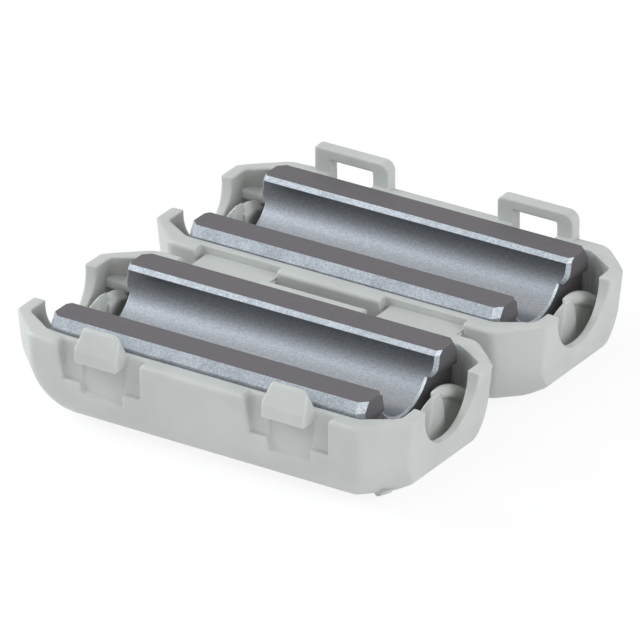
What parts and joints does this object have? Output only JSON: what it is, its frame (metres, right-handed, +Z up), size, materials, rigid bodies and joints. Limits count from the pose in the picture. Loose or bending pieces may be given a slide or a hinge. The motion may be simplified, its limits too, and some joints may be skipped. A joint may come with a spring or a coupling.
{
  "type": "clip on ferrite bead",
  "caption": "Hinged clip of two shells that latch shut round a cable, with a half-round ferrite core in each; it damps high-frequency noise. Shown open.",
  "frame": {"origin": "centre of the footprint, on the surface that the open clip lies on; the hinge line is above it", "axes": "+X along the cable grooves, +Y from the half with the hooks to the half with the loops, +Z up out of the open halves"},
  "size_m": [0.0252, 0.0262, 0.0072],
  "materials": {
    "case": "fine satin, as moulded",
    "core": "sintered, with ground mating faces"
  },
  "bodies": {
    "hook_half": {"case_hook_half": "case", "hinge_web_left": "case", "hinge_web_right": "case", "cable_fingers_hook_half": "case", "core_springs_hook_half": "case"},
    "loop_half": {"case_loop_half": "case", "latch_loop_left": "case", "latch_loop_right": "case", "cable_fingers_loop_half": "case", "core_springs_loop_half": "case"},
    "core_hook": {"core_hook_half": "core"},
    "core_loop": {"core_loop_half": "core"}
  },
  "joints": [
    {"name": "halves_close", "type": "hinge", "parent": "hook_half", "child": "loop_half", "pos_m": [0, 0, 0.00562], "axis": [1, 0, 0], "range_deg": [0, 180], "deforming": ["hinge_web_left", "hinge_web_right", "latch_loop_left", "latch_loop_right", "cable_fingers_hook_half", "cable_fingers_loop_half"]},
    {"name": "core_hook_sink", "type": "slide", "parent": "hook_half", "child": "core_hook", "axis": [0, 0, -1], "range_m": [0, 0.00054], "deforming": ["core_springs_hook_half"]},
    {"name": "core_loop_sink", "type": "slide", "parent": "loop_half", "child": "core_loop", "axis": [0, 0, -1], "range_m": [0, 0.00054], "deforming": ["core_springs_loop_half"]}
  ],
  "couplings": [
    {"joint": "halves_close", "follows": "core_hook_sink", "rad_per_m": 5817.8},
    {"joint": "core_loop_sink", "follows": "core_hook_sink", "ratio": 1}
  ]
}
